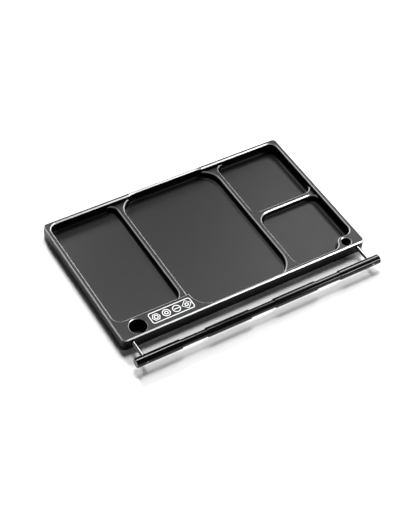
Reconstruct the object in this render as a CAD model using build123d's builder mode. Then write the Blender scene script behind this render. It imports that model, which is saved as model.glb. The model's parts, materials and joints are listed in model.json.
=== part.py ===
from build123d import *
from math import sqrt
import os

# Parts sorting tray: a black anodised plate with four milled pockets and two post
# sockets, and a turned rail that plugs into the plate's front edge on two steel pins.
# Millimetres. The origin is the middle of the plate's underside, +Z is up, the
# length runs along X and the rail stands in front of the plate, towards -Y.

# Plate
length = 180.0
width = 110.0
height = 10.0
corner_radius = 3.0
edge_break = 0.7
foot_break = 1.0

# Pockets
floor_thickness = 2.0
floor_fillet = 2.0
rib_thickness = 3.2
rib_drop = 3.2
side_rim = 3.0
end_rim = 2.6
middle_end_rim = 1.8
left_pocket_width = 48.4
right_pocket_width = 46.9
rear_pocket_length = 50.0
side_pocket_radius = 5.6
side_wide_radius = 9.0
middle_pocket_radius = 12.4
middle_wide_radius = 16.5
corner_reach = 0.75

# Post sockets, each placed by the walls left in front of it, behind it and beside
# the bore of the nearer rail pin
large_socket_diameter = 11.6
large_front_wall = 1.2
large_back_wall = 2.1
large_pin_wall = 0.4
small_socket_diameter = 6.8
small_front_wall = 1.6
small_pin_wall = 0.8
socket_floor = 2.0
socket_break = 0.4
small_boss_wall = 2.0
boss_blend_radius = 6.0

# Rail
land_diameter = 6.4
waist_diameter = 5.3
rail_land_length = 31.5
waist_count = 3
rail_end_break = 0.4
rail_gap = 12.0

# Pins that carry the rail, and the screws that hold them
pin_diameter = 2.5
pin_side = 6.5
pin_engagement = 8.5
pin_proud = 0.1
pin_break = 0.3
pin_clearance = 0.05
pin_end_gap = 0.5
screw_diameter = 3.0
screw_length = 4.0
screw_front = 4.0
screw_break = 0.3
screw_tip_gap = 0.3
thread_clearance = 0.05
hex_across_flats = 1.5
hex_depth = 1.8

# Places worked out from the sizes above
left_edge = -length / 2
right_edge = length / 2
front_edge = -width / 2
back_edge = width / 2
rib_top = height - rib_drop

pin_radius = pin_diameter / 2
pin_places = [left_edge + pin_side, right_edge - pin_side]
pin_bore_radius = pin_radius + pin_clearance
large_socket_radius = large_socket_diameter / 2
large_socket_x = pin_places[0] + pin_bore_radius + large_pin_wall + large_socket_radius
large_socket_y = front_edge + large_front_wall + large_socket_radius
small_socket_radius = small_socket_diameter / 2
small_socket_x = pin_places[1] - pin_bore_radius - small_pin_wall - small_socket_radius
small_socket_y = front_edge + small_front_wall + small_socket_radius

left_pocket_low_x = left_edge + side_rim
left_pocket_high_x = left_pocket_low_x + left_pocket_width
right_pocket_high_x = right_edge - side_rim
right_pocket_low_x = right_pocket_high_x - right_pocket_width
middle_low_x = left_pocket_high_x + rib_thickness
middle_high_x = right_pocket_low_x - rib_thickness
side_back_y = back_edge - end_rim
side_front_y = front_edge + end_rim
middle_back_y = back_edge - middle_end_rim
middle_front_y = front_edge + middle_end_rim
land_y = large_socket_y + large_socket_radius + large_back_wall
rear_pocket_low_y = side_back_y - rear_pocket_length
front_pocket_high_y = rear_pocket_low_y - rib_thickness
middle_x = (middle_low_x + middle_high_x) / 2

land_radius = land_diameter / 2
screw_radius = screw_diameter / 2
rail_y = front_edge - rail_gap - land_radius
rail_z = height - land_radius
waist_length = (length - (waist_count + 1) * rail_land_length) / waist_count
pin_front_y = rail_y - land_radius - pin_proud
pin_back_y = front_edge + pin_engagement
pin_length = pin_back_y - pin_front_y
screw_y = front_edge + screw_front
screw_top_z = rail_z - pin_radius - screw_tip_gap
screw_bottom_z = screw_top_z - screw_length

os.makedirs("parts", exist_ok=True)


def rounded_outline(low_x, high_x, low_y, high_y, radius):
    """A rectangle between four walls with all its corners rounded."""
    with Locations(((low_x + high_x) / 2, (low_y + high_y) / 2)):
        RectangleRounded(high_x - low_x, high_y - low_y, radius)


def pocket_outline(low_x, high_x, low_y, high_y, front_left, front_right, back_left, back_right):
    """A rectangle with its own radius at each corner, made of four that overlap."""
    reach_x = corner_reach * (high_x - low_x)
    reach_y = corner_reach * (high_y - low_y)
    rounded_outline(low_x, low_x + reach_x, low_y, low_y + reach_y, front_left)
    rounded_outline(high_x - reach_x, high_x, low_y, low_y + reach_y, front_right)
    rounded_outline(low_x, low_x + reach_x, high_y - reach_y, high_y, back_left)
    rounded_outline(high_x - reach_x, high_x, high_y - reach_y, high_y, back_right)


def socket_corner():
    """The solid corner round the small socket: its boss, blended into both walls."""
    reach = small_socket_radius + small_boss_wall + boss_blend_radius
    wall_blend_x = right_pocket_high_x - boss_blend_radius
    wall_blend_y = small_socket_y + sqrt(reach**2 - (wall_blend_x - small_socket_x) ** 2)
    front_blend_y = side_front_y + boss_blend_radius
    front_blend_x = small_socket_x - sqrt(reach**2 - (front_blend_y - small_socket_y) ** 2)
    Polygon(
        (front_blend_x, side_front_y),
        (right_pocket_high_x, side_front_y),
        (right_pocket_high_x, wall_blend_y),
        (wall_blend_x, wall_blend_y),
        (small_socket_x, small_socket_y),
        (front_blend_x, front_blend_y),
        align=None,
        mode=Mode.SUBTRACT,
    )
    with Locations((small_socket_x, small_socket_y)):
        Circle(reach - boss_blend_radius, mode=Mode.SUBTRACT)
    with Locations((wall_blend_x, wall_blend_y), (front_blend_x, front_blend_y)):
        Circle(boss_blend_radius)


def side_pockets():
    """The left pocket and the two on the right, in the open sketch."""
    pocket_outline(
        left_pocket_low_x,
        left_pocket_high_x,
        land_y,
        side_back_y,
        side_pocket_radius,
        side_wide_radius,
        side_pocket_radius,
        side_pocket_radius,
    )
    pocket_outline(
        right_pocket_low_x,
        right_pocket_high_x,
        side_front_y,
        front_pocket_high_y,
        side_wide_radius,
        side_pocket_radius,
        side_wide_radius,
        side_pocket_radius,
    )
    socket_corner()
    rounded_outline(
        right_pocket_low_x, right_pocket_high_x, rear_pocket_low_y, side_back_y, side_pocket_radius
    )


def middle_pocket():
    """The large middle pocket below the tops of the ribs, in the open sketch."""
    pocket_outline(
        middle_low_x,
        middle_high_x,
        middle_front_y,
        middle_back_y,
        middle_pocket_radius,
        middle_wide_radius,
        middle_pocket_radius,
        middle_pocket_radius,
    )


def upper_opening():
    """The opening inside the rim, above the tops of the ribs, in the open sketch."""
    rounded_outline(middle_x, right_pocket_high_x, side_front_y, side_back_y, side_pocket_radius)
    socket_corner()
    rounded_outline(left_pocket_low_x, middle_x, land_y, side_back_y, side_pocket_radius)
    with Locations((middle_x, (land_y + side_back_y) / 2)):
        Rectangle(2 * side_pocket_radius, side_back_y - land_y)
    rounded_outline(
        middle_low_x, middle_high_x, middle_front_y, middle_back_y, middle_pocket_radius
    )


def plane_towards_back(x, y, z):
    """A plane that faces +Y, for round pieces and holes that run front to back."""
    return Plane(origin=(x, y, z), x_dir=(1, 0, 0), z_dir=(0, 1, 0))


# The bevel along the pocket edges on the ribs, kept inside the rim's own walls
with BuildPart() as rib_bevels:
    with BuildSketch(Plane.XY.offset(rib_top - edge_break)):
        side_pockets()
        middle_pocket()
    extrude(amount=edge_break, taper=-45)
    with BuildSketch(Plane.XY.offset(rib_top - edge_break)):
        upper_opening()
    extrude(amount=edge_break, mode=Mode.INTERSECT)

# The plate: one milled piece with its pockets, post sockets and rail bores
with BuildPart() as tray_plate:
    with BuildSketch():
        RectangleRounded(length, width, corner_radius)
    extrude(amount=height)
    chamfer(tray_plate.faces().sort_by(Axis.Z)[0].edges(), foot_break)
    with BuildSketch(Plane.XY.offset(rib_top)):
        upper_opening()
    extrude(amount=rib_drop, mode=Mode.SUBTRACT)
    with BuildSketch(Plane.XY.offset(floor_thickness)):
        side_pockets()
        middle_pocket()
    extrude(amount=rib_top - floor_thickness, mode=Mode.SUBTRACT)
    pocket_floors = tray_plate.faces().filter_by(Plane.XY).filter_by_position(
        Axis.Z, floor_thickness, floor_thickness
    )
    fillet(pocket_floors.edges(), floor_fillet)
    chamfer(tray_plate.faces().sort_by(Axis.Z)[-1].edges(), edge_break)
    for socket_x, socket_y, socket_radius in (
        (large_socket_x, large_socket_y, large_socket_radius),
        (small_socket_x, small_socket_y, small_socket_radius),
    ):
        with BuildSketch(Plane.XY.offset(socket_floor)):
            with Locations((socket_x, socket_y)):
                Circle(socket_radius)
        extrude(amount=height - socket_floor, mode=Mode.SUBTRACT)
        chamfer(
            tray_plate.edges(Select.LAST).filter_by_position(Axis.Z, height, height), socket_break
        )
    add(rib_bevels.part, mode=Mode.SUBTRACT)
    for pin_x in pin_places:
        with BuildSketch(plane_towards_back(pin_x, front_edge, rail_z)):
            Circle(pin_bore_radius)
        extrude(amount=pin_engagement + pin_end_gap, mode=Mode.SUBTRACT)
        with BuildSketch(Plane.XY):
            with Locations((pin_x, screw_y)):
                Circle(screw_radius + thread_clearance)
        extrude(amount=rail_z, mode=Mode.SUBTRACT)
tray_plate.part.label = "tray_plate"
export_step(tray_plate.part, "parts/tray_plate.step")

# The rail's bar: turned from one rod, thick lands with narrower waists between them
with BuildPart() as rail_bar:
    for land in range(waist_count + 1):
        land_low_x = left_edge + land * (rail_land_length + waist_length)
        with BuildSketch(Plane.YZ.offset(land_low_x)):
            with Locations((rail_y, rail_z)):
                Circle(land_radius)
        extrude(amount=rail_land_length)
    chamfer(rail_bar.edges().filter_by(GeomType.CIRCLE), rail_end_break)
    with BuildSketch(Plane.YZ.offset(left_edge + rail_land_length)):
        with Locations((rail_y, rail_z)):
            Circle(waist_diameter / 2)
    extrude(amount=length - 2 * rail_land_length)
    for pin_x in pin_places:
        with BuildSketch(plane_towards_back(pin_x, rail_y - land_radius, rail_z)):
            Circle(pin_radius)
        extrude(amount=land_diameter, mode=Mode.SUBTRACT)
rail_bar.part.label = "rail_bar"
export_step(rail_bar.part, "parts/rail_bar.step")

# The two steel pins: pressed through the bar, plugged into the plate's front edge
for name, pin_x in zip(("left_rail_pin", "right_rail_pin"), pin_places):
    with BuildPart() as rail_pin:
        with BuildSketch(plane_towards_back(pin_x, pin_front_y, rail_z)):
            Circle(pin_radius)
        extrude(amount=pin_length)
        chamfer(rail_pin.edges().filter_by(GeomType.CIRCLE), pin_break)
    rail_pin.part.label = name
    export_step(rail_pin.part, f"parts/{name}.step")

# The grub screws under the plate, backed off a little from the pins they hold
for name, pin_x in zip(("left_grub_screw", "right_grub_screw"), pin_places):
    with BuildPart() as grub_screw:
        with BuildSketch(Plane.XY.offset(screw_bottom_z)):
            with Locations((pin_x, screw_y)):
                Circle(screw_radius)
        extrude(amount=screw_length)
        chamfer(grub_screw.edges().filter_by(GeomType.CIRCLE), screw_break)
        with BuildSketch(Plane.XY.offset(screw_bottom_z)):
            with Locations((pin_x, screw_y)):
                RegularPolygon(hex_across_flats / 2, 6, major_radius=False)
        extrude(amount=hex_depth, mode=Mode.SUBTRACT)
    grub_screw.part.label = name
    export_step(grub_screw.part, f"parts/{name}.step")
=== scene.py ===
# %% [markdown]
# # A milled parts tray with a plug-in rail
#
# The object is a flat black anodised aluminium tray for sorting small parts at a bench. It has four shallow
# pockets, two post sockets in its front corners, bright bevels cut through the black skin, and a turned bar
# that plugs into its front edge on two steel pins. Every hard part is already modelled in CAD, at its real
# size. This lesson lights it, gives each finish its own material, and adds the small details that a CAD
# model leaves out: the laser marking and the screw threads.
#
# The CAD parts come in as a fixed frame. Nothing here moves or reshapes them, so a part that is wrong would
# be mended in the CAD and packed again.

# %% Load the fixed frame
import json
import math

import bmesh
import bpy
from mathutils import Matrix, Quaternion, Vector


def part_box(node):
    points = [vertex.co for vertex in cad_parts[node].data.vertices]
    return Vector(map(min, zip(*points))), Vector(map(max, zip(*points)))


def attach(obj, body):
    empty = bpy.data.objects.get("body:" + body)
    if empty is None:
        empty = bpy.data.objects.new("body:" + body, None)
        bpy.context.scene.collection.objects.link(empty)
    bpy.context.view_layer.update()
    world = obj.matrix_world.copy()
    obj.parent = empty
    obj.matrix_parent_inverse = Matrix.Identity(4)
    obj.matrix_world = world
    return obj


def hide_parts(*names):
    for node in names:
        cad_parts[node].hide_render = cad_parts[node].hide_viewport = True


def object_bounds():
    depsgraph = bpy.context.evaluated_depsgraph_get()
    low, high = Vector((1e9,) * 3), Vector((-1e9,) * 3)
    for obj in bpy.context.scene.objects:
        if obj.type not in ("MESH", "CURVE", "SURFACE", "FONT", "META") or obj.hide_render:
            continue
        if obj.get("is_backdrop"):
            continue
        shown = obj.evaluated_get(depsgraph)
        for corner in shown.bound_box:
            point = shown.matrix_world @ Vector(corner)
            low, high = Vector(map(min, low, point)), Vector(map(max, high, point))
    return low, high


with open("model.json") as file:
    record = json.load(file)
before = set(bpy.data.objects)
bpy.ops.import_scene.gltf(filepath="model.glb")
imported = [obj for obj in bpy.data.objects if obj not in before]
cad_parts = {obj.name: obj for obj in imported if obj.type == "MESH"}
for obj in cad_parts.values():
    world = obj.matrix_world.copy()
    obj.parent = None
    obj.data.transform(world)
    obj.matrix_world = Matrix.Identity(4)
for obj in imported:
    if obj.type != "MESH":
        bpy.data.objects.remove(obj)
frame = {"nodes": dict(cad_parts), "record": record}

cad_low, cad_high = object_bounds()
MM = 0.001
plate_low, plate_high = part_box("tray_plate")
print("CAD box in mm:", [round(v / MM, 1) for v in (*cad_low, *cad_high)])

# %% [markdown]
# ## The camera
#
# A catalogue picture of a flat tray is taken from above the front left corner with a long lens, so that the
# sides stay nearly parallel. The camera could be placed by typing in a position and three angles. Here it
# is placed the way a photographer talks about it: the point it aims at, how far round and how high it
# stands, how far away it is, and how much it leans. The lean is a roll about its own line of sight.

# %% Camera
AIM = Vector((-11.1, -25.2, 10.0)) * MM
AZIMUTH, ELEVATION, LEAN = math.radians(-35.03), math.radians(47.98), math.radians(5.28)
DISTANCE = 823.1 * MM
LENS = 88.09


def towards(azimuth, elevation):
    """The direction of a place seen from the tray: azimuth 0 is straight in front of the rail."""
    flat = math.cos(elevation)
    return Vector((math.sin(azimuth) * flat, -math.cos(azimuth) * flat, math.sin(elevation)))


def add_camera():
    """The camera that the main picture is taken with."""
    camera = bpy.data.objects.new("camera", bpy.data.cameras.new("camera"))
    bpy.context.scene.collection.objects.link(camera)
    camera.data.lens = LENS
    camera.data.sensor_width = 36.0
    camera.data.clip_start, camera.data.clip_end = 0.01, 20.0
    away = towards(AZIMUTH, ELEVATION)
    camera.location = AIM + away * DISTANCE
    camera.rotation_mode = "QUATERNION"
    camera.rotation_quaternion = (-away).to_track_quat("-Z", "Y") @ Quaternion((0, 0, 1), LEAN)
    bpy.context.scene.camera = camera
    return camera


camera = add_camera()
print("camera at", [round(v / MM) for v in camera.location], "mm")

# %% [markdown]
# ## Floor and light
#
# Black satin metal shows almost nothing of its own colour. What the eye reads is the reflection of the
# lamps, so each lamp is placed by what it does to one surface. Two keys stand behind the tray and light the
# sheet: a low one that throws the long shadow in front, and a high one that fills most of it. The gloss key
# stands where the level faces mirror it, and gives the pocket floors their grey. A strip in front is
# mirrored by the front bevels, and is low enough for the bar to shade the foot of the plate from it. The
# rest are weak, and only there to be mirrored: one low at the back left for the left bevels, and two at the
# right for the right-hand bevels and the polished bar. The surround is nearly dark, because an even
# surround would fill the shadow and turn the black to grey.
#
# Lamp power depends on the lamp's area, which makes it hard to compare lamps. So each lamp is given a glow,
# which is how bright its face is beside white paper in the same light, and the power is worked out from
# that.

# %% Stage
FLOOR_TONE = 0.9
FLOOR_HALF = 4.0
FLOOR_DROP = 0.02 * MM
SURROUND = 0.04


def add_floor():
    """A level white sheet, large enough to fill every view."""
    half = FLOOR_HALF
    level = plate_low.z - FLOOR_DROP
    mesh = bpy.data.meshes.new("floor")
    corners = [(-half, -half, level), (half, -half, level), (half, half, level), (-half, half, level)]
    mesh.from_pydata(corners, [], [(0, 1, 2, 3)])
    floor = bpy.data.objects.new("floor", mesh)
    bpy.context.scene.collection.objects.link(floor)
    paper = bpy.data.materials.new("white_paper")
    paper.use_nodes = True
    shader = paper.node_tree.nodes["Principled BSDF"]
    shader.inputs["Base Color"].default_value = (FLOOR_TONE, FLOOR_TONE, FLOOR_TONE, 1)
    shader.inputs["Roughness"].default_value = 1.0
    shader.inputs["Specular IOR Level"].default_value = 0.0
    mesh.materials.append(paper)
    floor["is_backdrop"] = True


def add_softbox(name, azimuth, elevation, distance, width, height, glow):
    """A rectangular lamp, placed by direction in degrees and metres, facing the middle of the tray."""
    light = bpy.data.lights.new(name, "AREA")
    light.shape = "RECTANGLE"
    light.size, light.size_y = width, height
    light.energy = glow * math.pi * width * height
    lamp = bpy.data.objects.new(name, light)
    bpy.context.scene.collection.objects.link(lamp)
    away = towards(math.radians(azimuth), math.radians(elevation))
    lamp.location = away * distance
    lamp.rotation_mode = "QUATERNION"
    lamp.rotation_quaternion = (-away).to_track_quat("-Z", "Y")


def set_world(strength):
    """An even white surround, kept weak so that it hardly fills the shadows."""
    world = bpy.data.worlds.new("surround")
    bpy.context.scene.world = world
    world.use_nodes = True
    background = world.node_tree.nodes["Background"]
    background.inputs["Color"].default_value = (1, 1, 1, 1)
    background.inputs["Strength"].default_value = strength


add_floor()
set_world(SURROUND)
# Each lamp: azimuth, elevation, distance, width, height, glow
add_softbox("key_high", 118, 52, 1.0, 0.50, 0.45, 3)
add_softbox("key_gloss", 132, 45, 1.2, 0.25, 0.25, 20)
add_softbox("key_top", 152, 66, 1.4, 0.40, 0.35, 29)
add_softbox("key_low", 173, 35, 1.4, 0.28, 0.38, 60)
add_softbox("front_strip", 40, 24, 1.2, 0.40, 0.16, 26)
add_softbox("back_left_panel", -126, 22, 1.2, 0.50, 0.30, 0.5)
add_softbox("right_low_panel", 112, 14, 1.2, 0.80, 0.35, 4)
add_softbox("right_back_panel", 142, 24, 1.2, 0.30, 0.16, 2.5)
bpy.context.scene.view_settings.view_transform = "Standard"

# %% [markdown]
# ## A small kit for materials
#
# Each finish below is a node tree built by hand. These helpers keep that short: one starts a material and
# hands back its shader, one adds a node with its values set, and one makes a noise that is read in
# millimetres, so that a grain size means the same on every part.

# %% Material kit


def start_material(name):
    """A new material, its node tree and its Principled shader."""
    material = bpy.data.materials.new(name)
    material.use_nodes = True
    return material, material.node_tree, material.node_tree.nodes["Principled BSDF"]


def add_node(tree, kind, inputs=(), **settings):
    """A node with its settings and its unlinked input values."""
    node = tree.nodes.new(kind)
    for key, value in settings.items():
        setattr(node, key, value)
    for key, value in dict(inputs).items():
        node.inputs[key].default_value = value
    return node


def math_node(tree, operation, first, second):
    """One arithmetic step. Each side is a socket or a number."""
    node = add_node(tree, "ShaderNodeMath", operation=operation)
    for slot, side in enumerate((first, second)):
        if isinstance(side, (int, float)):
            node.inputs[slot].default_value = side
        else:
            tree.links.new(side, node.inputs[slot])
    return node.outputs[0]


def in_millimetres(tree, stretch=(1, 1, 1)):
    """Object coordinates in millimetres, each axis squeezed by its stretch."""
    coordinates = add_node(tree, "ShaderNodeTexCoord")
    scale = tuple(1 / MM / s for s in stretch)
    mapping = add_node(tree, "ShaderNodeMapping", {"Scale": scale})
    tree.links.new(coordinates.outputs["Object"], mapping.inputs["Vector"])
    return mapping.outputs["Vector"]


def grain(tree, size, detail=3.0, stretch=(1, 1, 1)):
    """Noise whose blotches are about size millimetres across."""
    noise = add_node(tree, "ShaderNodeTexNoise", {"Scale": 1 / size, "Detail": detail})
    tree.links.new(in_millimetres(tree, stretch), noise.inputs["Vector"])
    return noise.outputs["Fac"]


def between(tree, value, low, high):
    """Maps a value that runs from 0 to 1 to another range, held at both ends."""
    node = add_node(tree, "ShaderNodeMapRange", {"To Min": low, "To Max": high})
    tree.links.new(value, node.inputs["Value"])
    return node.outputs["Result"]


def blend_colours(tree, mask, first, second):
    """The first colour where the mask is 0, the second where it is 1."""
    node = add_node(tree, "ShaderNodeMix", data_type="RGBA")
    tree.links.new(mask, node.inputs[0])
    for slot, side in ((6, first), (7, second)):
        if isinstance(side, (tuple, list)):
            node.inputs[slot].default_value = (*side, 1)
        else:
            tree.links.new(side, node.inputs[slot])
    return node.outputs[2]


def bump(tree, height, distance):
    """Relief of that many millimetres, as a normal for the shader."""
    node = add_node(tree, "ShaderNodeBump", {"Distance": distance * MM, "Strength": 1.0})
    tree.links.new(height, node.inputs["Height"])
    return node.outputs["Normal"]


def dress(node_name, material):
    """Puts a material on a CAD part."""
    part = frame["nodes"][node_name]
    part.data.materials.clear()
    part.data.materials.append(material)


# %% [markdown]
# ## Black anodised plate with bright bevels
#
# The plate is milled, blasted to an even satin, and dyed black. Its edges are cut last, through the skin, so
# they show bare aluminium. On a real part the two finishes meet in a line as sharp as the cutter. They could
# be two materials on two sets of faces, but a CAD part's mesh is left alone, so one material tells them apart
# by the surface itself: a bevel is the only place that leans half way, and only near the top or along the
# ribs. The outer bevel at the back is cut like the others but is given the black of the dye, as painted
# shade. It mirrors nothing but the sheet behind, and bare metal would lose the edge of the tray against it.

# %% Plate material
DYE = (0.0015, 0.0015, 0.0016)
BARE_METAL = (0.93, 0.93, 0.94)
PLATE_SHINE = 0.125
SATIN_ROUGHNESS = (0.33, 0.37)
CUT_ROUGHNESS = (0.40, 0.48)
BLAST_RELIEF = 0.006
# A bevel's upward lean, and how high in millimetres the bevels start
BEVEL_LEAN = (0.55, 0.86)
BEVEL_FOOT = 5.6
# The back's outer bevel, painted dark as shade: how far it leans to the back, and the strip in millimetres
# that holds it
BACK_LEAN = 0.5
BACK_STRIP = 1.0


def bevel_mask(tree):
    """1 on the cut bevels, 0 elsewhere and on the back's outer bevel, which is painted dark as shade."""
    coordinates = add_node(tree, "ShaderNodeTexCoord")
    lean = add_node(tree, "ShaderNodeSeparateXYZ")
    tree.links.new(coordinates.outputs["Normal"], lean.inputs[0])
    place = add_node(tree, "ShaderNodeSeparateXYZ")
    tree.links.new(in_millimetres(tree), place.inputs[0])
    leaning = math_node(
        tree,
        "MULTIPLY",
        math_node(tree, "GREATER_THAN", lean.outputs["Z"], BEVEL_LEAN[0]),
        math_node(tree, "LESS_THAN", lean.outputs["Z"], BEVEL_LEAN[1]),
    )
    high = math_node(tree, "GREATER_THAN", place.outputs["Z"], BEVEL_FOOT)
    # Painted shade: the back's outer bevel gets the dark dye colour instead of bare metal.
    painted_shade_back_bevel = math_node(
        tree,
        "MULTIPLY",
        math_node(tree, "GREATER_THAN", lean.outputs["Y"], BACK_LEAN),
        math_node(tree, "GREATER_THAN", place.outputs["Y"], plate_high.y / MM - BACK_STRIP),
    )
    cut = math_node(tree, "MULTIPLY", leaning, high)
    return math_node(tree, "MULTIPLY", cut, math_node(tree, "SUBTRACT", 1.0, painted_shade_back_bevel))


def anodised_plate():
    """Satin black, with bare metal on the bevels and painted shade on the back's outer bevel."""
    material, tree, shader = start_material("anodised_plate")
    shader.inputs["Specular IOR Level"].default_value = PLATE_SHINE
    mask = bevel_mask(tree)
    cloud = grain(tree, 14.0, 2.0)
    dye_and_back_shade = blend_colours(tree, cloud, tuple(c * 0.85 for c in DYE), tuple(c * 1.2 for c in DYE))
    streaks = grain(tree, 0.35, 2.0, (6, 6, 1))
    metal = blend_colours(tree, streaks, tuple(c * 0.9 for c in BARE_METAL), BARE_METAL)
    tree.links.new(blend_colours(tree, mask, dye_and_back_shade, metal), shader.inputs["Base Color"])
    tree.links.new(mask, shader.inputs["Metallic"])
    satin = between(tree, grain(tree, 9.0, 4.0), *SATIN_ROUGHNESS)
    cut = between(tree, streaks, *CUT_ROUGHNESS)
    dyed_and_back_shade = math_node(tree, "SUBTRACT", 1.0, mask)
    roughness = math_node(
        tree, "ADD", math_node(tree, "MULTIPLY", satin, dyed_and_back_shade), math_node(tree, "MULTIPLY", cut, mask)
    )
    tree.links.new(roughness, shader.inputs["Roughness"])
    blast = math_node(tree, "MULTIPLY", grain(tree, 0.12, 4.0), dyed_and_back_shade)
    tree.links.new(bump(tree, blast, BLAST_RELIEF), shader.inputs["Normal"])
    return material


dress("tray_plate", anodised_plate())
print("plate dressed:", [round(v / MM, 1) for v in plate_high - plate_low], "mm")

# %% [markdown]
# ## The turned rail
#
# The bar is turned from one rod and polished before it is dyed, so it is glossier than the plate, with very
# fine rings round it from the tool. A lathe mark is a groove that runs round the axis, which here is X, so
# a noise that changes only along X gives it.

# %% Bar material
BAR_DYE = ((0.0012, 0.0012, 0.0013), (0.0025, 0.0025, 0.0026))
BAR_SHINE = 0.3
POLISH_ROUGHNESS = (0.07, 0.12)
RING_RELIEF = 0.0015


def polished_bar():
    """Glossy black with fine turning rings."""
    material, tree, shader = start_material("gloss_black_bar")
    shader.inputs["Specular IOR Level"].default_value = BAR_SHINE
    rings = grain(tree, 0.16, 3.0, (1, 400, 400))
    smears = grain(tree, 7.0, 3.0)
    tree.links.new(blend_colours(tree, smears, *BAR_DYE), shader.inputs["Base Color"])
    tree.links.new(between(tree, rings, *POLISH_ROUGHNESS), shader.inputs["Roughness"])
    tree.links.new(bump(tree, rings, RING_RELIEF), shader.inputs["Normal"])
    return material


dress("rail_bar", polished_bar())

# %% [markdown]
# ## Steel pins and grub screws
#
# The pins are ground dowels: bare steel, smoother than the plate's bevels, with the grinder's faint rings
# round their length. Their colour is painted darker than ground steel, as painted shade, because a thin
# bright rod beside a white sheet reads as a white line. The grub screws under the plate are black oxide
# steel, which is dark but still a metal, slightly mottled.

# %% Steel materials
# Painted shade: the pin colours are darker than ground steel, so the thin pins read dark beside the white
# sheet.
PIN_STEEL_PAINTED_DARK = ((0.12, 0.12, 0.122), (0.18, 0.18, 0.183))
GROUND_ROUGHNESS = (0.18, 0.26)
GROUND_RELIEF = 0.001
OXIDE_STEEL = ((0.03, 0.03, 0.034), (0.07, 0.07, 0.075))
OXIDE_METAL = 0.8
OXIDE_ROUGHNESS = (0.3, 0.45)


def ground_steel():
    """Ground steel, its colour painted dark as shade, with rings round Y, the pins' own axis."""
    material, tree, shader = start_material("steel_pin")
    rings = grain(tree, 0.1, 3.0, (400, 1, 400))
    shader.inputs["Metallic"].default_value = 1.0
    tree.links.new(blend_colours(tree, rings, *PIN_STEEL_PAINTED_DARK), shader.inputs["Base Color"])
    tree.links.new(between(tree, rings, *GROUND_ROUGHNESS), shader.inputs["Roughness"])
    tree.links.new(bump(tree, rings, GROUND_RELIEF), shader.inputs["Normal"])
    return material


def black_oxide():
    """Dark blued steel, slightly mottled."""
    material, tree, shader = start_material("black_screw")
    mottle = grain(tree, 0.5, 4.0)
    shader.inputs["Metallic"].default_value = OXIDE_METAL
    tree.links.new(blend_colours(tree, mottle, *OXIDE_STEEL), shader.inputs["Base Color"])
    tree.links.new(between(tree, mottle, *OXIDE_ROUGHNESS), shader.inputs["Roughness"])
    return material


steel = ground_steel()
for pin in ("left_rail_pin", "right_rail_pin"):
    dress(pin, steel)
oxide = black_oxide()
for screw in ("left_grub_screw", "right_grub_screw"):
    dress(screw, oxide)

# %% [markdown]
# ## A kit for Geometry Nodes
#
# The next two pieces follow rules, so they are made by node trees. A tree is a recipe with named sizes
# going in and a mesh coming out. These helpers start a tree with its inputs, join nodes up, and at the end
# press the result into a plain mesh, because a finished piece should not depend on a live modifier.

# %% Geometry Nodes kit
WELD_DISTANCE = 0.0005 * MM


def start_recipe(name, sizes):
    """A geometry tree with its named sizes, its input node and a way to add wired nodes."""
    tree = bpy.data.node_groups.new(name, "GeometryNodeTree")
    for label, value in sizes.items():
        kind = "NodeSocketMaterial" if isinstance(value, bpy.types.Material) else "NodeSocketFloat"
        tree.interface.new_socket(label, in_out="INPUT", socket_type=kind)
    tree.interface.new_socket("Geometry", in_out="OUTPUT", socket_type="NodeSocketGeometry")
    given = tree.nodes.new("NodeGroupInput").outputs

    def wired(kind, inputs=(), **settings):
        node = tree.nodes.new(kind)
        for key, value in settings.items():
            setattr(node, key, value)
        for key, value in dict(inputs).items():
            for side in value if isinstance(value, list) else [value]:
                if isinstance(side, bpy.types.NodeSocket):
                    tree.links.new(side, node.inputs[key])
                else:
                    node.inputs[key].default_value = side
        return node

    return tree, given, wired


def calculator(wired):
    """Arithmetic inside a recipe: each side is a socket or a number."""

    def work(operation, first, second=0.0):
        return wired("ShaderNodeMath", {0: first, 1: second}, operation=operation).outputs[0]

    return work


def end_recipe(tree, wired, geometry, material):
    """Welds the result, gives it its material and hands it out of the tree."""
    real = wired("GeometryNodeRealizeInstances", {0: geometry}).outputs[0]
    welded = wired("GeometryNodeMergeByDistance", {"Geometry": real, "Distance": WELD_DISTANCE}).outputs[0]
    finished = wired("GeometryNodeSetMaterial", {"Geometry": welded, "Material": material}).outputs[0]
    wired("NodeGroupOutput", {"Geometry": finished})


def press_recipe(name, tree, sizes):
    """Runs the recipe with these sizes and keeps the result as a plain closed mesh."""
    maker = bpy.data.objects.new(name + "_maker", bpy.data.meshes.new(name + "_maker"))
    bpy.context.scene.collection.objects.link(maker)
    modifier = maker.modifiers.new("recipe", "NODES")
    modifier.node_group = tree
    for socket in tree.interface.items_tree:
        if socket.in_out == "INPUT":
            modifier[socket.identifier] = sizes[socket.name]
    evaluated = maker.evaluated_get(bpy.context.evaluated_depsgraph_get())
    mesh = bpy.data.meshes.new_from_object(evaluated)
    bpy.data.objects.remove(maker)
    solid = bmesh.new()
    solid.from_mesh(mesh)
    bmesh.ops.recalc_face_normals(solid, faces=solid.faces)
    loose = sum(1 for edge in solid.edges if not edge.is_manifold)
    solid.to_mesh(mesh)
    solid.free()
    mesh.name = name
    piece = bpy.data.objects.new(name, mesh)
    bpy.context.scene.collection.objects.link(piece)
    print(name, len(mesh.polygons), "faces,", loose, "open edges")
    return piece


# %% [markdown]
# ## Threaded grub screws
#
# Two M3 grub screws come up from below and hold the rail's pins. In the CAD they are plain cylinders,
# because a thread costs a great deal there and nothing measures it. Here the thread is worth having, as it
# is what one sees on turning the tray over. A thread could be swept along a helix, but the ends of a sweep
# are hard to close. A lathe's way is simpler: start from a cylinder, and let its radius rise and fall with
# the height and the turn together. That is one sum, so it suits a node tree. The hexagon for the key is a
# ring, a wall and a floor.

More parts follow.
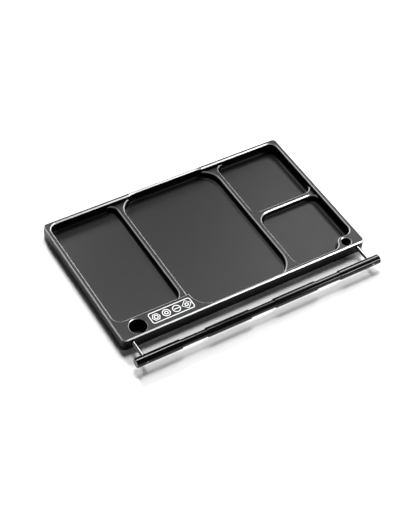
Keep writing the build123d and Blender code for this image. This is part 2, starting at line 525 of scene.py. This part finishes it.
# %% Grub screws
KEY_SIZE, KEY_DEPTH = 1.5 * MM, 1.8 * MM
THREAD_PITCH, THREAD_DEPTH = 0.5 * MM, 0.27 * MM
POINTS_AROUND, RINGS_ALONG = 48, 96
# Whole turns added before the fraction is taken, so that the sum is never below zero
TURNS_AHEAD = 100.0


def screw_recipe(sizes):
    """An upright threaded screw with a hexagon in its lower end."""
    tree, given, wired = start_recipe("threaded_screw", sizes)
    work = calculator(wired)
    core = work("SUBTRACT", given["Radius"], given["Thread Depth"])
    half = work("DIVIDE", given["Length"], 2.0)
    barrel = wired(
        "GeometryNodeMeshCylinder",
        {"Vertices": POINTS_AROUND, "Side Segments": RINGS_ALONG, "Radius": 1.0, "Depth": given["Length"]},
        fill_type="NONE",
    )
    place = wired("ShaderNodeSeparateXYZ", {0: wired("GeometryNodeInputPosition").outputs[0]})
    turn = work("DIVIDE", work("ARCTAN2", place.outputs["Y"], place.outputs["X"]), 2 * math.pi)
    climb = work("DIVIDE", place.outputs["Z"], given["Pitch"])
    phase = work("FRACT", work("SUBTRACT", work("ADD", climb, TURNS_AHEAD), turn))
    ridge = work("SUBTRACT", 1.0, work("ABSOLUTE", work("SUBTRACT", work("MULTIPLY", phase, 2.0), 1.0)))
    from_end = work("DIVIDE", work("SUBTRACT", half, work("ABSOLUTE", place.outputs["Z"])), given["Pitch"])
    fade = wired("ShaderNodeClamp", {"Value": from_end}).outputs[0]
    height = work("MULTIPLY", work("MULTIPLY", ridge, fade), given["Thread Depth"])
    radius = work("ADD", core, height)
    across = [work("MULTIPLY", place.outputs[axis], radius) for axis in ("X", "Y")]
    threaded = wired("ShaderNodeCombineXYZ", {"X": across[0], "Y": across[1], "Z": place.outputs["Z"]})
    thread = wired(
        "GeometryNodeSetPosition", {"Geometry": barrel.outputs["Mesh"], "Position": threaded.outputs[0]}
    ).outputs[0]

    corner = work("DIVIDE", given["Key Size"], 2 * math.cos(math.radians(30)))
    low = wired("ShaderNodeCombineXYZ", {"Z": work("MULTIPLY", half, -1.0)}).outputs[0]
    high = wired("ShaderNodeCombineXYZ", {"Z": half}).outputs[0]

    def circle(corners, size):
        node = wired("GeometryNodeCurvePrimitiveCircle", {"Resolution": corners, "Radius": size})
        return node.outputs["Curve"]

    def moved(geometry, offset):
        return wired("GeometryNodeTransform", {"Geometry": geometry, "Translation": offset}).outputs[0]

    ring = [circle(POINTS_AROUND, core), circle(6, corner)]
    outlines = wired("GeometryNodeJoinGeometry", {0: ring}).outputs[0]
    key_ring = moved(wired("GeometryNodeFillCurve", {0: outlines}).outputs[0], low)
    top = moved(wired("GeometryNodeFillCurve", {0: circle(POINTS_AROUND, core)}).outputs[0], high)
    key_top = work("SUBTRACT", given["Key Depth"], half)
    key_floor = wired("ShaderNodeCombineXYZ", {"Z": key_top}).outputs[0]
    floor = moved(wired("GeometryNodeFillCurve", {0: circle(6, corner)}).outputs[0], key_floor)
    middle = work("SUBTRACT", work("DIVIDE", given["Key Depth"], 2.0), half)
    wall = moved(
        wired(
            "GeometryNodeMeshCylinder",
            {"Vertices": 6, "Side Segments": 1, "Radius": corner, "Depth": given["Key Depth"]},
            fill_type="NONE",
        ).outputs["Mesh"],
        wired("ShaderNodeCombineXYZ", {"Z": middle}).outputs[0],
    )
    whole = wired("GeometryNodeJoinGeometry", {0: [thread, key_ring, top, floor, wall]}).outputs[0]
    centre = wired("ShaderNodeCombineXYZ", {"X": given["X"], "Y": given["Y"], "Z": given["Z"]}).outputs[0]
    end_recipe(tree, wired, moved(whole, centre), given["Finish"])
    return tree


recipe = None
for side in ("left", "right"):
    low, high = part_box(f"{side}_grub_screw")
    centre = (low + high) / 2
    sizes = {
        "Radius": (high.x - low.x) / 2, "Length": high.z - low.z, "Pitch": THREAD_PITCH,
        "Thread Depth": THREAD_DEPTH, "Key Size": KEY_SIZE, "Key Depth": KEY_DEPTH,
        "X": centre.x, "Y": centre.y, "Z": centre.z, "Finish": oxide,
    }
    recipe = recipe or screw_recipe(sizes)
    screw = press_recipe(f"{side}_threaded_screw", recipe, sizes)
    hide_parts(f"{side}_grub_screw")
    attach(screw, "tray")

# %% [markdown]
# ## The laser marking
#
# The flat between the large socket and the middle pocket carries a pale laser marking. Here it is a plain
# row of signs for what the tray sorts: a nut, a washer, a slotted screw and a square nut, in a rounded
# frame. A marking could be painted by a material, but its outlines are only a few tenths of a millimetre
# wide, so real outlines stay sharper. Every outline is a closed curve, and filling them all at once leaves
# the spaces between them open, the way a stencil does. The filled shape is then given the thickness of a
# laser's frosting, which is almost none.

# %% Marking
FROSTED_METAL = ((0.62, 0.62, 0.63), (0.88, 0.88, 0.89))
FROSTED_ROUGHNESS = (0.55, 0.8)
FROSTED_RELIEF = 0.004
MARK_WIDTH, MARK_HEIGHT = 30.0 * MM, 8.8 * MM
MARK_GAP, MARK_RISE = 3.2 * MM, 1.0 * MM
MARK_ROUNDING, MARK_STROKE, MARK_FROSTING = 1.8 * MM, 0.6 * MM, 0.02 * MM
SIGN_PITCH, SIGN_RADIUS = 7.2 * MM, 2.8 * MM


def frosted_mark():
    """Pale, dry laser frosting, slightly uneven."""
    material, tree, shader = start_material("frosted_mark")
    speckle = grain(tree, 0.08, 4.0)
    tree.links.new(blend_colours(tree, speckle, *FROSTED_METAL), shader.inputs["Base Color"])
    tree.links.new(between(tree, speckle, *FROSTED_ROUGHNESS), shader.inputs["Roughness"])
    tree.links.new(bump(tree, speckle, FROSTED_RELIEF), shader.inputs["Normal"])
    return material


def marking_recipe(sizes):
    """A rounded frame round a row of four signs, as one stencil of thin solid."""
    tree, given, wired = start_recipe("sign_row", sizes)
    work = calculator(wired)

    def placed(curve, column):
        along = work("MULTIPLY", given["Pitch"], column)
        offset = wired("ShaderNodeCombineXYZ", {"X": along}).outputs[0]
        return wired("GeometryNodeTransform", {"Geometry": curve, "Translation": offset}).outputs[0]

    def ring(corners, share, column):
        outer = work("MULTIPLY", given["Sign Radius"], share)
        pair = []
        for size in (outer, work("SUBTRACT", outer, given["Stroke"])):
            circle = wired("GeometryNodeCurvePrimitiveCircle", {"Resolution": corners, "Radius": size})
            pair.append(placed(circle.outputs["Curve"], column))
        return pair

    def box(width, height, column=0.0, rounding=None):
        sides = {"Width": width, "Height": height}
        shape = wired("GeometryNodeCurvePrimitiveQuadrilateral", sides).outputs[0]
        if rounding is not None:
            shape = wired(
                "GeometryNodeFilletCurve", {"Curve": shape, "Radius": rounding, "Count": 8}, mode="POLY"
            ).outputs[0]
        return placed(shape, column)

    twice = work("MULTIPLY", given["Stroke"], 2.0)
    inner_width = work("SUBTRACT", given["Width"], twice)
    inner_height = work("SUBTRACT", given["Height"], twice)
    inner_rounding = work("SUBTRACT", given["Rounding"], given["Stroke"])
    outlines = [
        box(given["Width"], given["Height"], rounding=given["Rounding"]),
        box(inner_width, inner_height, rounding=inner_rounding),
    ]
    hex_nut, washer, screw_head, square_nut = -1.5, -0.5, 0.5, 1.5
    outlines += ring(6, 1.05, hex_nut) + ring(32, 0.55, hex_nut)
    outlines += ring(48, 1.0, washer) + ring(32, 0.5, washer)
    outlines += ring(48, 1.0, screw_head)
    outlines.append(box(work("MULTIPLY", given["Sign Radius"], 1.2), given["Stroke"], screw_head))
    outlines += ring(4, 1.25, square_nut) + ring(32, 0.5, square_nut)
    stencil = wired("GeometryNodeFillCurve", {0: wired("GeometryNodeJoinGeometry", {0: outlines}).outputs[0]})
    lift = wired("ShaderNodeCombineXYZ", {"Z": 1.0}).outputs[0]
    raised = wired(
        "GeometryNodeExtrudeMesh",
        {"Mesh": stencil.outputs[0], "Offset": lift, "Offset Scale": given["Frosting"], "Individual": False},
    ).outputs["Mesh"]
    under = wired("GeometryNodeFlipFaces", {0: stencil.outputs[0]}).outputs[0]
    solid = wired("GeometryNodeJoinGeometry", {0: [raised, under]}).outputs[0]
    centre = wired("ShaderNodeCombineXYZ", {"X": given["X"], "Y": given["Y"], "Z": given["Z"]}).outputs[0]
    moved = wired("GeometryNodeTransform", {"Geometry": solid, "Translation": centre}).outputs[0]
    end_recipe(tree, wired, moved, given["Finish"])
    return tree


mounts = {mount["name"]: mount for mount in frame["record"]["mounts"]}
socket_place = Vector(mounts["large_socket"]["pos_m"])
socket_radius = mounts["large_socket"]["dims"]["r_mm"] * MM
mark_sizes = {
    "Width": MARK_WIDTH, "Height": MARK_HEIGHT, "Rounding": MARK_ROUNDING, "Stroke": MARK_STROKE,
    "Pitch": SIGN_PITCH, "Sign Radius": SIGN_RADIUS, "Frosting": MARK_FROSTING,
    "X": socket_place.x + socket_radius + MARK_GAP + MARK_WIDTH / 2,
    "Y": socket_place.y + MARK_RISE, "Z": plate_high.z, "Finish": frosted_mark(),
}
marking = press_recipe("laser_marking", marking_recipe(mark_sizes), mark_sizes)
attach(marking, "tray")

# %% [markdown]
# ## Measure and finish
#
# The box round everything that shows is set beside the box of the fixed frame, so that the two can be
# compared to see whether anything has grown past the piece that it dresses. The last line prints the visual
# box.

# %% Measure and finish
shown_low, shown_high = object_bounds()
sizes = {
    "cad": [list(cad_low), list(cad_high)],
    "visual": [list(shown_low), list(shown_high)],
}
print("visual box in mm:", [round(v / MM, 1) for v in (*shown_low, *shown_high)])
